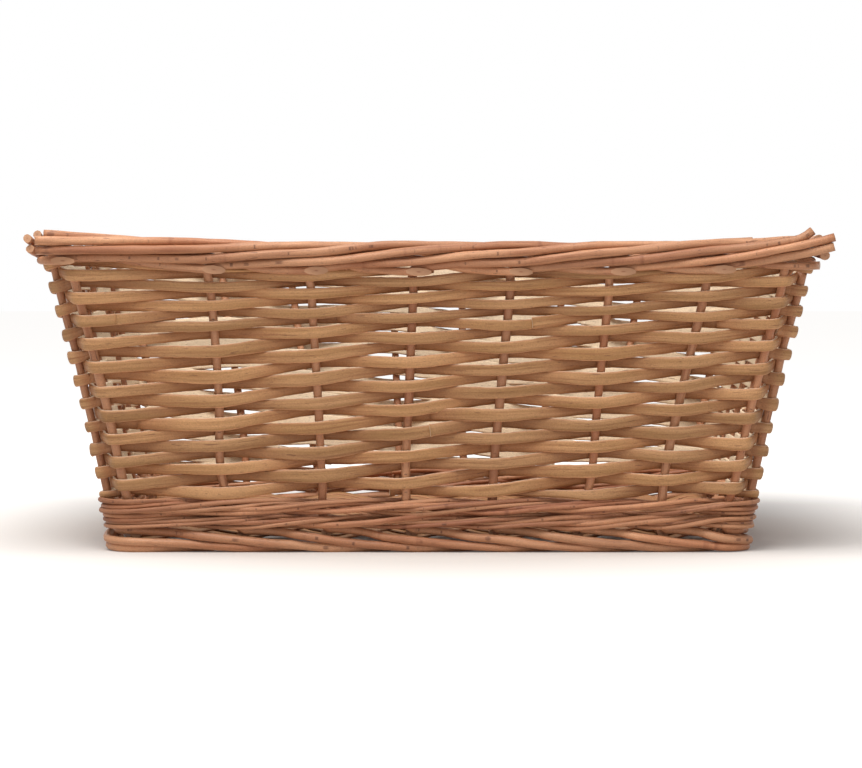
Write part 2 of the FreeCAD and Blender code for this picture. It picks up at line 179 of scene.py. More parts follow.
@dataclass
class Skin:
    """Surface of one piece, or of several that share an object: vertices in mm, faces and values."""

    points: list[Array] = field(default_factory=list)
    quads: list[Array] = field(default_factory=list)
    caps: list[Array] = field(default_factory=list)
    values: dict[str, list[Array]] = field(default_factory=dict)
    count: int = 0

    def carry(self, rings: Array, marks: Marks) -> None:
        """Add a closed profile carried along a path, with a cap at each end.

        The vertex at row i and column k of the grid is the profile's point k at the path's place i. Each cell
        of the grid is a face, the columns close on themselves, and each cap is a ring at half size round a
        middle.

        Args:
            rings: Places of the profile's points, by path place, profile point and axis.
            marks: Values of each vertex, by name, in the same grid.
        """
        rows, columns, _ = rings.shape
        start = self.count
        index = start + np.arange(rows * columns).reshape(rows, columns)
        after = np.roll(index, -1, axis=1)
        self.quads.append(np.stack([index[:-1], after[:-1], after[1:], index[1:]], axis=-1).reshape(-1, 4))
        grids = [rings.reshape(-1, 3)]
        extra = start + rows * columns
        for row, near, far in ((0, index[0], after[0]), (-1, after[-1], index[-1])):
            middle = rings[row].mean(axis=0)
            ring = extra + np.arange(columns)
            ring_far = np.roll(ring, -1) if row == 0 else ring
            ring_near = ring if row == 0 else np.roll(ring, -1)
            grids += [(rings[row] + middle) / 2, middle[None]]
            self.caps.append(np.stack([far, near, ring_near, ring_far], axis=-1))
            self.caps.append(np.stack([ring_far, ring_near, np.full(columns, extra + columns)], axis=-1))
            extra += columns + 1
        self.points += grids
        for name, grid in marks.items():
            parts = self.values.setdefault(name, [])
            parts.append(grid.reshape(-1))
            for row in (0, -1):
                parts.append(np.append(grid[row], grid[row].mean()))
        rays = self.values.setdefault("ray", [])
        rays.append(np.ones(rows * columns))
        rays += [np.append(np.full(columns, 0.5), 0.0)] * 2
        self.count = extra

    def build(self, name: str, finish: bpy.types.Material, slot: str, nodes: list[str]) -> None:
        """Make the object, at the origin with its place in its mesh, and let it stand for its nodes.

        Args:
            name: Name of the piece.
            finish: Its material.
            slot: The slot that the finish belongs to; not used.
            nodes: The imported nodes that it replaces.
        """
        points = np.vstack(self.points) * MM
        quads = np.vstack(self.quads + [cap for cap in self.caps if cap.shape[1] == 4])
        wedges = np.vstack([cap for cap in self.caps if cap.shape[1] == 3])
        sides = sum(len(grid) for grid in self.quads)
        mesh = bpy.data.meshes.new(name)
        mesh.vertices.add(len(points))
        mesh.vertices.foreach_set("co", points.astype(np.float32).ravel())
        mesh.loops.add(quads.size + wedges.size)
        corners = np.concatenate([quads.ravel(), wedges.ravel()])
        mesh.loops.foreach_set("vertex_index", corners.astype(np.int32))
        mesh.polygons.add(len(quads) + len(wedges))
        starts = np.concatenate([4 * np.arange(len(quads)), quads.size + 3 * np.arange(len(wedges))])
        mesh.polygons.foreach_set("loop_start", starts.astype(np.int32))
        is_side = np.arange(len(quads) + len(wedges)) < sides
        mesh.polygons.foreach_set("use_smooth", is_side)
        mesh.update(calc_edges=True)
        for key, parts in self.values.items():
            attribute = mesh.attributes.new(key, "FLOAT", "POINT")
            attribute.data.foreach_set("value", np.concatenate(parts).astype(np.float32))
        attribute = mesh.attributes.new("cut", "FLOAT", "FACE")
        attribute.data.foreach_set("value", (~is_side).astype(np.float32))
        mesh.materials.append(finish)
        piece = bpy.data.objects.new(name, mesh)
        bpy.context.scene.collection.objects.link(piece)
        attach(piece, "root")
        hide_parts(*nodes)
        LOG.info("%s: %d faces for %d nodes", name, len(mesh.polygons), len(nodes))


@dataclass
class Wall:
    """Where the wall stands: its stake line, its lean and its heights, in mm.

    The stake line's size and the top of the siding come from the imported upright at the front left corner,
    whose outer flats lie a share of its diameter from its middle and whose top stands a little above the
    siding.
    """

    bays: tuple[int, ...] = (7, 5, 7, 5)
    front_shift: float = 0.28
    radius: float = 10.0
    corner: float = 0.15
    lean_low: float = 10.8
    lean_high: float = 12.7
    knee: float = 75.0
    knee_blend: float = 12.0
    stake: float = 4.1
    flat_share: float = 0.47
    upright_over: float = 0.54
    gap: float = 0.2
    foot_low: float = 1.9
    fold_spacings: float = 2.35
    rise_high: tuple[float, ...] = (6.0, 3.5, 3.5, 3.5)
    rise_bays: float = 2.0
    stray_low: float = 0.10
    stray_high: float = 0.13
    half_length: float = field(init=False)
    half_depth: float = field(init=False)
    band_top: float = field(init=False)

    def __post_init__(self) -> None:
        """Read the wall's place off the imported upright."""
        low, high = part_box("stake_front_1")
        self.band_top = high.z / MM - self.upright_over
        reach = self.lean_out(np.array(self.band_top))
        self.half_length = -low.x / MM - self.flat_share * self.stake + self.radius - float(reach)
        self.half_depth = -low.y / MM - self.flat_share * self.stake - float(reach)

    @property
    def spacing(self) -> float:
        """Distance between rods that lie side by side."""
        return self.stake + self.gap

    @property
    def stations(self) -> int:
        """Number of places round the wall; both stakes of a corner stand at one of them."""
        return sum(self.bays)

    @property
    def corners(self) -> tuple[int, ...]:
        """Stations of the corners, from the front left one."""
        return tuple(sum(self.bays[:k]) for k in range(4))

    @property
    def fold(self) -> float:
        """Height at which a stake folds out into the foot border."""
        return self.foot_low + self.fold_spacings * self.spacing

    def places(self) -> Array:
        """Stations of the stakes, anticlockwise from the first of the front."""
        ways = [np.concatenate([[self.corner], np.arange(1, n), [n - self.corner]]) for n in self.bays]
        return np.concatenate([corner + way for corner, way in zip(self.corners, ways)])

    def rise(self, u: Array) -> Array:
        """How much higher the border stands: it rises towards each corner with the square of the nearness.

        Args:
            u: Stations.

        Returns:
            The rise at each of them, in mm.
        """
        away = (np.subtract.outer(u, np.array(self.corners)) + self.stations / 2) % self.stations
        near = np.maximum(0.0, 1 - np.abs(away - self.stations / 2) / self.rise_bays)
        return (np.array(self.rise_high) * near ** 2).max(axis=-1)

    def stray(self, index: Array, z: Array) -> Array:
        """How far a stake strays along the wall from its even place, in bays; those of the corners stay.

        Args:
            index: Number of the stake, anticlockwise from the first of the front; it may go round again.
            z: Heights; the distance changes evenly from half the knee's height to the top of the siding.

        Returns:
            The distance of each stake.
        """
        places = self.places()
        free = np.isclose(places, np.round(places))
        low, high = np.random.default_rng(Seed.STRAY.value).uniform(-1, 1, (2, len(places))) * free
        index = np.mod(index, len(places))
        share = np.clip((z - self.knee / 2) / (self.band_top - self.knee / 2), 0.0, 1.0)
        return (1 - share) * self.stray_low * low[index] + share * self.stray_high * high[index]

    def lean_out(self, z: Array) -> Array:
        """Distance that the wall has leaned out at a height: one slope below the knee, another above it."""
        low, high = math.tan(math.radians(self.lean_low)), math.tan(math.radians(self.lean_high))
        return np.minimum(z, self.knee) * low + np.maximum(z - self.knee, 0.0) * high

    def lean(self, z: Array) -> Array:
        """Lean of the wall at a height, in radians, which changes smoothly round the knee."""
        share = np.clip((z - self.knee + self.knee_blend) / (2 * self.knee_blend), 0.0, 1.0)
        return np.radians(self.lean_low + (self.lean_high - self.lean_low) * share)

    def ring(self, u: Array, out: Array, z: Array) -> Array:
        """Places beside the wall.

        u counts stations anticlockwise from the front left corner, out is square to the stake line in plan
        and z is the height. Within a share of a bay beside a corner's station the line is an arc; elsewhere
        it is straight, and on it the stations stand evenly between the arcs' ends, but for those of the
        front, which all stand a share of a bay further on.

        Args:
            u: Stations.
            out: Distances outwards from the stake line.
            z: Heights.

        Returns:
            One row of X, Y and Z for each station.
        """
        u = np.mod(u, self.stations)
        corners = np.array(self.corners)
        side = np.searchsorted(corners, u, side="right") - 1
        bays = np.array(self.bays)[side]
        u = u - corners[side]
        arc = self.corner
        turn = np.where(u < arc, u / arc - 1, np.where(u > bays - arc, 1 - (bays - u) / arc, 0.0))
        turn = turn * np.pi / 4
        shift = np.where(side == 0, self.front_shift, 0.0)
        near = (1 + shift) * np.clip((u - arc) / (1 - arc), 0.0, 1.0) / bays
        far = 1 - (1 - shift) * np.clip((bays - arc - u) / (1 - arc), 0.0, 1.0) / bays
        share = np.where(u < 1, near, np.where(u > bays - 1, far, (u + shift) / bays))
        lean = self.lean_out(z)
        is_long = side % 2 == 0
        along = np.where(is_long, self.half_length, self.half_depth) + lean - self.radius
        across = np.where(is_long, self.half_depth, self.half_length) + lean - self.radius
        angle = side * np.pi / 2
        ahead = (2 * share - 1) * along + (self.radius + out) * np.sin(turn)
        beside = across + (self.radius + out) * np.cos(turn)
        x = np.cos(angle) * ahead + np.sin(angle) * beside
        y = np.sin(angle) * ahead - np.cos(angle) * beside
        return np.stack([x, y, z + 0 * u], axis=-1)

    def outward(self, u: Array, z: Array) -> Array:
        """Level directions outwards from the wall."""
        return unit(self.ring(u, 1.0, z) - self.ring(u, 0.0, z))

    def by_wall(self, square: Array, up: Array, z: Array, lean: float) -> tuple[Array, Array]:
        """Place given by its distances square to the leaning wall and up along it, from height z on it.

        Args:
            square: Distances square to the wall.
            up: Distances up along it.
            z: Heights of the places on the stake line that both are counted from.
            lean: Lean of the wall, in degrees.

        Returns:
            The distances out from the stake line, and the heights.
        """
        cos, sin = math.cos(math.radians(lean)), math.sin(math.radians(lean))
        return square / cos, z + up * cos - square * sin


@dataclass
class Rod:
    """A round willow rod carried along a path, with a little taper, swellings and buds of its own."""

    diameter: float
    taper: float = 0.94
    facets: int = 10
    slant: float = 0.0
    swell: float = 0.04
    oval: float = 0.05
    bud_height: float = 0.07
    bud_length: float = 2.2
    places_per_bud: int = 30

    def rings(self, path: Array, outward: Array, rng: np.random.Generator) -> tuple[Array, Marks]:
        """Profiles along the path, and the values of their vertices.

        A profile's point lies at radius r, r times cos a outwards and r times sin a beside the rod, where a
        goes once round. r falls with the taper and swells with a slow wave, every few centimetres with a bud,
        and with cos 2a, which makes the rod a little oval. A slanting end moves each point of the last
        profile back along the rod by r cos a times the slant's tangent, so that the cut faces outwards.

        Args:
            path: Middle of the rod, in mm.
            outward: Directions that the profile's first point faces.
            rng: Source of the irregularities.

        Returns:
            The grid of places, and the named values in the same grid.
        """
        along = run_length(path)
        if self.slant:
            keep = along < along[-1] - 0.6 * self.diameter * math.tan(self.slant)
            keep[-1] = True
            path, outward, along = path[keep], outward[keep], along[keep]
        tangent = unit(np.gradient(path, axis=0))
        normal = unit(outward - (outward * tangent).sum(axis=1, keepdims=True) * tangent)
        beside = np.cross(tangent, normal)
        angle = 2 * np.pi * (np.arange(self.facets) + 0.5) / self.facets
        share = along / along[-1]
        radius = self.diameter / 2 * (1 + (1 - self.taper) * (0.5 - share))
        radius = radius * (1 + self.swell * waver(along, (31.0, 17.0, 67.0), rng))
        buds = rng.uniform(0, along[-1], 1 + len(along) // self.places_per_bud)
        bud = np.exp(-(((along[:, None] - buds) / self.bud_length) ** 2)).sum(axis=1)
        radius = radius + self.bud_height * np.minimum(bud, 1.0)
        around = radius[:, None] * (1 + self.oval * np.cos(2 * angle + 6.3 * rng.random()))[None]
        places = path[:, None] + around[..., None] * (
            np.cos(angle)[None, :, None] * normal[:, None] + np.sin(angle)[None, :, None] * beside[:, None])
        if self.slant:
            shift = -math.tan(self.slant) * around[-1] * np.cos(angle)
            places[-1] += shift[:, None] * tangent[-1]
        grid = np.ones((len(path), self.facets))
        marks = {"along": along[:, None] * MM * grid, "turn": (np.abs(angle - np.pi) / np.pi)[None] * grid,
                 "tone": rng.random() * grid, "bud": np.minimum(bud, 1.0)[:, None] * grid}
        return places, marks


@dataclass
class Band:
    """A split willow band: rounded bark side outwards and flat split side inwards."""

    bark: float = 1.25
    split: float = 0.8
    facets: int = 14
    uneven_thickness: float = 0.07
    uneven_width: float = 0.03

    def rings(self, path: Array, outward: Array, width: Array, lean: Array,
              rng: np.random.Generator) -> tuple[Array, Marks]:
        """Profiles along the path, and the values of their vertices.

        With b going once round, a point lies the bark height times cos b to the power 0.85 out on the bark
        side, or the split depth in on the other, which rounds off at the edges. Down the band it lies half
        the width times sin b to the power 0.8, which draws it towards the edges. The whole profile leans with
        the wall.

        Args:
            path: Middle of the band, in mm.
            outward: Level directions outwards.
            width: Width of the band at each place.
            lean: Lean of the profile at each place, in radians.
            rng: Source of the irregularities.

        Returns:
            The grid of places, and the named values in the same grid.
        """
        along = run_length(path)
        tangent = unit(np.gradient(path, axis=0))
        level = unit(outward - (outward * tangent).sum(axis=1, keepdims=True) * tangent)
        down = np.cross(tangent, level)
        cos, sin = np.cos(lean)[:, None], np.sin(lean)[:, None]
        face = level * cos + down * sin
        edge = down * cos - level * sin
        angle = 2 * np.pi * (np.arange(self.facets) + 0.5) / self.facets
        bark = self.bark * np.sign(np.cos(angle)) * np.abs(np.cos(angle)) ** 0.85
        high = np.where(np.cos(angle) > 0, bark, -self.split * np.minimum(1.0, 2.2 * np.abs(np.cos(angle))))
        across = np.sign(np.sin(angle)) * np.abs(np.sin(angle)) ** 0.8
        thick = 1 + self.uneven_thickness * waver(along, (47.0, 90.0), rng)
        fray = 1 + self.uneven_width * waver(along, (7.0, 13.0, 23.0), rng)
        places = path[:, None] + (high[None] * thick[:, None])[..., None] * face[:, None]
        places = places + (across[None] * (width * fray / 2)[:, None])[..., None] * edge[:, None]
        grid = np.ones((len(path), self.facets))
        marks = {"along": along[:, None] * MM * grid, "turn": across[None] * grid,
                 "tone": rng.random() * grid, "bud": (np.cos(angle) > 0).astype(float)[None] * grid}
        return places, marks


@dataclass
class Siding:
    """Ten split bands that climb round the stakes side by side, each alternating outside and inside.

    A band climbs as many rows in one round of the wall as there are bands, so that they fill it. It is made
    of a few lengths of willow, each laid over the end of the one before. It lies a little lower outside the
    stakes than inside, starts as a thin wedge on the wale and narrows again where it ends under the border.
    """

    wall: Wall
    weavers: int = 10
    start: float = 1.0
    bow: float = 1.8
    wide_rows: int = 14
    wide: float = 5.95
    narrow_rows: int = 6
    narrow: float = 4.85
    reach: float = 3.5
    sway: float = 0.21
    overlap: float = 0.12
    lift: float = 2.2
    swell: float = 0.05
    sink: float = 0.5
    thinnest: float = 1.6
    bay: float = 45.0
    lap: float = 0.45
    lap_out: float = 1.8
    lap_fade: float = 0.55
    stray_out: float = 0.06
    stray_up: float = 0.32
    stray_width: float = 0.08
    stray_lean: float = 0.07
    samples: int = 18
    band: Band = field(default_factory=Band)

    @property
    def climb(self) -> float:
        """Bays in which a band climbs by one row."""
        return self.wall.stations / self.weavers

    @property
    def rows(self) -> int:
        """Number of rows that show between the wale and the border."""
        return self.wide_rows + self.narrow_rows

    def level(self, row: Array) -> Array:
        """Height of a row's lower edge: it goes up evenly in the wide rows, and evenly in the narrow ones.

        Args:
            row: Rows, counted from the lowest; a fraction lies that far up its row.

        Returns:
            Their heights, in mm.
        """
        top = self.wall.band_top
        knee = top - self.narrow_rows * self.narrow
        low = knee - self.wide_rows * self.wide
        return np.interp(row, [-1, 0, self.wide_rows, self.rows, self.rows + 2],
                         [low - self.wide, low, knee, top, top + 2 * self.narrow])

    def raised(self, u: Array, row: Array) -> Array:
        """How much higher a row lies near a corner, where the narrow rows spread out to follow the border."""
        return self.wall.rise(u) * np.clip((row - self.wide_rows) / self.narrow_rows, 0.0, 1.0)

    def wobble(self, u: Array, row: Array) -> Array:
        """Unevenness that neighbouring bands share: two waves that drift with height, and a bow.

        The bow lifts the rows over the middles of the long sides by the cosine of twice the turn round the
        wall. All of it fades out in the two lowest and the two highest rows.

        Args:
            u: Stations.
            row: Rows, which may be fractions.

        Returns:
            How much higher each place lies, in mm.
        """
        inner = np.clip(row / 2.0, 0.0, 1.0) * np.clip((self.rows - 1 - row) / 2.0, 0.0, 1.0)
        turn = 2 * np.pi * u / self.wall.stations
        bow = self.bow * np.maximum(0.0, np.cos(2 * turn - 0.5 * np.pi * self.wall.bays[0] / 6))
        return inner * (0.5 * np.sin(5 * turn + 0.35 * row + 1.0) + 0.4 * np.sin(11 * turn - 0.5 * row) + bow)

    def beside(self, step: Array, number: int) -> Array:
        """Where a band passes each place, from 1 outside the stakes to -1 inside.

        Between two stakes it is the rounded saw wave. Between the two stakes of a corner the band runs
        straight from inside one and folds closely round the other.

        Args:
            step: Number of stakes passed, with fractions between them.
            number: Number of the weaver; odd ones start outside.

        Returns:
            The place at each step.
        """
        before = np.floor(step).astype(int)
        ends = np.cumsum(np.array(self.wall.bays) + 1) - 1
        is_corner = np.isin(before % len(self.wall.places()), ends)
        is_going_out = (before + number) % 2 == 0
        share = np.where(is_going_out, step - before, 1 - (step - before))
        fold = np.interp(share, [0.0, 0.5, 0.79, 0.88, 0.94, 1.0], [-1.0, -0.87, 0.16, 0.78, 0.95, 1.0])
        return np.where(is_corner, fold, saw(step + number))

    def weaver(self, number: int, rng: np.random.Generator) -> Skin:
        """One band from the wale up to the border.

        Its distance out is the reach times its place beside the stakes; its height is the middle of its row
        less the saw wave times a share of the row, the sway. What would go below the wale or far up behind
        the border is left off it. It is made of three lengths, and the later ones start further out, over the
        end before them.

        Args:
            number: Number of the weaver.
            rng: Source of the irregularities.

        Returns:
            The band's surface.
        """
        places, laps = self.wall.places(), range(-1, 3)
        posts = np.concatenate([places + self.wall.stations * lap for lap in laps])
        index = np.arange(len(posts)) + len(places) * laps[0]
        rows = (posts - self.climb * number - self.start) / self.climb
        inside = (index + number) % 2 == 0
        first = index[inside & (rows > -0.95)][0]
        last = index[inside & (rows < self.rows + 0.6)][-1]
        posts = posts + self.wall.stray(index, self.level(rows + 0.5))
        joints = np.round(np.linspace(first, last, 4)[1:-1] + rng.uniform(-5, 5, 2)) + 0.25
        stops = [first - 0.2, *joints, last + 0.2]
        skin = Skin()
        for part, (begin, end) in enumerate(zip(stops, stops[1:])):
            end = end + (self.lap if part < len(joints) else 0.0)
            step = np.linspace(begin, end, int(self.samples * (end - begin)))
            u = np.interp(step, index, posts)
            row = (u - self.climb * number - self.start) / self.climb
            low = np.maximum(self.level(row), self.level(0.0) - self.sink) + self.raised(u, row)
            high = np.minimum(self.level(row + 1), self.wall.band_top + self.lift) + self.raised(u, row + 1)
            high = np.maximum(high, low + self.thinnest)
            place = self.beside(step, number)
            along = step * self.bay
            out = self.reach * place * (1 + self.stray_out * waver(along, (130.0, 70.0), rng))
            if part:
                out = out + self.lap_out * np.exp(-((step - begin) / self.lap_fade) ** 2)
            z = (low + high) / 2 - self.sway * (high - low) * saw(step + number) + self.wobble(u, row)
            z = z + self.stray_up * waver(along, (83.0, 140.0, 260.0), rng)
            uneven = 1 + self.swell * place + self.stray_width * waver(along, (110.0, 190.0, 60.0), rng)
            width = (high - low + self.overlap) * uneven
            path = self.wall.ring(u, out, z)
            outward = np.cross(unit(np.gradient(path, axis=0)), [0.0, 0.0, 1.0])
            lean = self.wall.lean(z) + self.stray_lean * waver(along, (65.0, 150.0), rng)
            rings, marks = self.band.rings(path, outward, width, lean, rng)
            # Painted shade: the deep mark rises where a band passes inside, behind the stakes, and darkens it
            # there.
            skin.carry(rings, {**marks, "deep": level_across(np.clip(0.5 - 0.75 * place, 0.0, 1.0), rings)})
        return skin

    def build(self, finish: bpy.types.Material) -> None:
        """Make one object for each weaver.

        Args:
            finish: Material of split willow.
        """
        rng = np.random.default_rng(Seed.SIDING.value)
        for number in range(self.weavers):
            nodes = [f"siding_row_{row + 1:02d}" for row in range(number, self.rows, self.weavers)]
            self.weaver(number, rng).build(f"siding_weaver_{number + 1}", finish, Slot.SPLIT.value, nodes)


@dataclass
class Stakes:
    """Upright stakes with their foot strands and border strands, and the rods put in behind the corners.

    Places of a strand are (bays on from its stake, outwards, upwards), the last two in stake spacings.
    Upwards is from the middle of the border, and in the foot from the strands on the ground. A strand that is
    cut at a corner runs past it by the length in ends for its bays, times the corner's trim, and rises by the
    corner's lift.
    """

    wall: Wall
    turn_bays: int = 6
    entry: Stops = ((0.0, 0.0, -1.75), (0.25, 0.75, -1.3))
    leave: Stops = ((0.25, -0.4, -0.98), (0.5, 0.15, -1.5), (0.82, 1.1, -1.7), (1.12, 1.6, -1.7))
    foot: Stops = ((2.75, -0.8, 0.0), (2.5, 0.0, 0.0), (2.0, 1.0, 0.1), (1.0, 1.15, 1.02), (0.68, 1.1, 1.45),
                   (0.53, 0.5, 1.75), (0.4, -0.1, 1.9), (0.15, -0.15, 2.15))
    thickness: float = 4.35
    slant: float = 71.0
    ends: tuple[float, ...] = (22.0, 21.0, 10.0)
    trims: tuple[float, ...] = (0.5, 0.95, 0.7, 0.8)
    lifts: tuple[float, ...] = (1.0, 3.5, -2.5, -2.5)
    end_bend: float = 0.6
    from_knee: tuple[float, ...] = (-38.0, 0.0, 35.0)
    below_siding: float = 9.0
    # Most painted shade that a stake gets, deep between the bands of the siding.
    hidden: float = 0.45
    bay: float = 46.0
    spacing: float = 2.6

    @property
    def rope_radius(self) -> float:
        """Distance from the border's middle to its strands."""
        return self.wall.spacing / math.cos(math.pi / self.turn_bays)

    def rope_height(self, u: Array) -> Array:
        """Height of the border's middle: its lowest strands lie on the siding."""
        wall = self.wall
        return wall.band_top - self.leave[-1][2] * wall.spacing + wall.stake / 2 + wall.gap + wall.rise(u)

    def line(self) -> Array:
        """Places of a border strand: it comes in, goes once round the border's middle and leaves.

        In between it lies, at each bay, at the border's radius times half and cos a out, and times sin a up,
        with a going once round from the lowest place.

        Returns:
            Rows of bays on, distance square to the wall and distance up along it, in mm.
        """
        spacing, last = self.wall.spacing, self.turn_bays - 1
        rope = np.array([0.5, *range(1, last + 1)])
        angle = 2 * np.pi * rope / self.turn_bays - np.pi / 2
        square = self.rope_radius * (0.5 + np.cos(angle))
        turns = np.stack([rope, square, self.rope_radius * np.sin(angle)], axis=1)
        entry = np.array(self.entry) * [1, spacing, spacing]
        leave = np.array(self.leave) * [1, spacing, spacing] + [last, 0, 0]
        return np.vstack([entry, turns, leave])

    def strand(self, station: float, first: float, last: float | None = None) -> Array:
        """Part of a border strand.

        Args:
            station: Station that its bays count from.
            first: Bays on at which the part starts.
            last: Bays on at which it ends; its tip if there is none.

        Returns:
            Stops, as rows of station, distance out and height.
        """
        line = self.line()
        last = line[-1, 0] if last is None else last
        between = (line[:, 0] > first + 0.05) & (line[:, 0] < last - 0.05)
        bays = np.concatenate([[first], line[between, 0], [last]])
        square, up = (np.interp(bays, line[:, 0], line[:, k]) for k in (1, 2))
        out, z = self.wall.by_wall(square, up, self.rope_height(station + bays), self.wall.lean_high)
        return np.stack([station + bays, out, z], axis=1)

    def foot_line(self, station: float, place: float) -> Array:
        """A foot strand, from its tip up to its fold.

        Args:
            station: Station that its bays count from.
            place: Station at which its stake stands.

        Returns:
            Stops, as rows of station, distance out and height.
        """
        spacing = self.wall.spacing
        stops = np.array(self.foot) * [1, spacing, spacing] + [station, 0, self.wall.foot_low]
        return np.vstack([stops, [place, 0.0, self.wall.fold]])

    def curve(self, stops: Array, rng: np.random.Generator, stray: float = 0.38) -> tuple[Array, Array]:
        """Path through stops: smoothed with the wall unrolled, then laid round it.

        Args:
            stops: Rows of station, distance out and height.
            rng: Source of the irregularities.
            stray: How far the path strays to each side, in mm.

        Returns:
            The path, and the outward direction at each of its places.
        """
        flat = smooth_line(stops * [self.bay, 1, 1], self.spacing)
        u, out, z = flat[:, 0] / self.bay, flat[:, 1], flat[:, 2]
        along = run_length(flat)
        out = out + stray * waver(along, (45.0, 110.0), rng)
        z = z + np.clip(z - 3.0, 0.0, 1.0) * stray * waver(along, (52.0, 95.0), rng)
        return self.wall.ring(u, out, z), self.wall.outward(u, z)

    def cut_corner(self, station: int) -> tuple[int, int]:
        """Where the border strand of a stake is cut at a corner.

        Args:
            station: Station of the stake.

        Returns:
            The number of bays on, or 0 if it isn't cut, and which corner it is.
        """
        for number, corner in enumerate(self.wall.corners):
            way = (corner - station) % self.wall.stations
            if 1 <= way <= len(self.ends):
                return way, number
        return 0, 0

    def painted_shade_depth(self, path: Array) -> Array:
        """Painted shade where a stake lies deep between bands: a share in the siding, 0 in the borders."""
        rise = np.clip((path[:, 2] - self.wall.fold - 4.0) / 10.0, 0.0, 1.0)
        return self.hidden * rise * np.clip((self.wall.band_top + 1.0 - path[:, 2]) / 8.0, 0.0, 1.0)

    def stake(self, index: int, rng: np.random.Generator) -> Skin:
        """One stake; the second stake of a corner is only upright.

        Args:
            index: Number of the stake, anticlockwise from the first of the front.
            rng: Source of the irregularities.

        Returns:
            The stake's surface.
        """
        place = self.wall.places()[index]
        skin, station = Skin(), round(place)
        heights = [self.wall.knee + step for step in self.from_knee]
        heights = np.array([*heights, self.wall.band_top - self.below_siding])
        upright = np.stack([place + self.wall.stray(index, heights), 0 * heights, heights], axis=1)
        if place > station:
            low = [place, 0.0, self.wall.fold + 0.5 * self.wall.spacing]
            path, outward = self.curve(np.vstack([low, upright, [place, 0.0, self.wall.band_top]]), rng)
            rings, marks = Rod(self.thickness).rings(path, outward, rng)
            # Painted shade deep between the bands goes in the deep mark.
            skin.carry(rings, {**marks, "deep": level_across(self.painted_shade_depth(path), rings)})
            return skin
        foot, (cut, corner) = self.foot_line(station, place), self.cut_corner(station)
        top = place + float(self.wall.stray(index, self.wall.band_top))
        strand = self.strand(station, top - station, cut - self.wall.corner if cut else None)
        path, outward = self.curve(np.vstack([foot, upright, strand]), rng)
        if cut:
            reach = self.ends[cut - 1] * self.trims[corner] + rng.uniform(-1.0, 0.5)
            step = np.arange(1.0, 1.0 + reach // self.spacing) / (reach // self.spacing)
            ahead = unit(path[-1] - path[-3])
            rise = self.lifts[corner] * (1.0 if cut == len(self.ends) else 0.3) + rng.uniform(-0.4, 0.4)
            bend = np.array([0, 0, rise]) + outward[-1] * self.end_bend
            path = np.vstack([path, path[-1] + reach * step[:, None] * ahead + step[:, None] ** 2 * bend])
            outward = np.vstack([outward, np.repeat(outward[-1:], len(step), axis=0)])
        slant = 0.0 if cut else math.radians(self.slant)
        rings, marks = Rod(self.thickness, 0.9, slant=slant).rings(path, outward, rng)
        # Painted shade deep between the bands goes in the deep mark.
        skin.carry(rings, {**marks, "deep": level_across(self.painted_shade_depth(rings.mean(axis=1)), rings)})
        return skin

    def corner_rod(self, corner: int, bays: int, rng: np.random.Generator) -> Skin:
        """Rod put in behind a corner, in the place of the strand that was cut there.

        Args:
            corner: Station of the corner.
            bays: Bays before the corner at which the cut strand's stake stands.
            rng: Source of the irregularities.

        Returns:
            The rod's surface.
        """
        stops = self.strand(corner - bays, bays + self.wall.corner)
        path, outward = self.curve(stops, rng, 0.1)
        ahead = unit(path[2] - path[0])
        back = self.wall.radius + stops[0, 1] - self.wall.stake / 2 - 0.5
        step = np.linspace(1.0, 0.0, 6)[:-1]
        path = np.vstack([path[0] - back * step[:, None] * ahead, path])
        outward = np.vstack([np.repeat(outward[:1], len(step), axis=0), outward])
        skin = Skin()
        skin.carry(*Rod(self.thickness, 0.92, slant=math.radians(self.slant)).rings(path, outward, rng))
        return skin

    def build(self, finish: bpy.types.Material) -> None:
        """Make one object for the stakes of each side and one for the rods of each corner.

        Args:
            finish: Material of round willow.
        """
        rng = np.random.default_rng(Seed.STAKES.value)
        first = 0
        for name, bays in zip(("front", "right", "back", "left"), self.wall.bays):
            skin = merged([self.stake(index, rng) for index in range(first, first + bays + 1)])
            first += bays + 1
            nodes = [f"stake_{name}_{number + 1}" for number in range(bays + 1)]
            skin.build(f"stakes_{name}", finish, Slot.ROUND.value, nodes)
        rng = np.random.default_rng(Seed.CORNERS.value)
        for name, corner in zip(("front_left", "front_right", "back_right", "back_left"), self.wall.corners):
            skin = merged([self.corner_rod(corner, k + 1, rng) for k in range(len(self.ends))])
            skin.build(f"corner_rods_laid_{name}", finish, Slot.ROUND.value, [f"corner_rods_{name}"])


def merged(skins: list[Skin]) -> Skin:
    """Put several skins into one.

    Args:
        skins: The skins, which all carry the same values.

    Returns:
        The skin that holds them.
    """
    whole = Skin()
    for skin in skins:
        whole.points += skin.points
        whole.quads += [grid + whole.count for grid in skin.quads]
        whole.caps += [grid + whole.count for grid in skin.caps]
        for name, parts in skin.values.items():
            whole.values.setdefault(name, []).extend(parts)
        whole.count += skin.count
    return whole


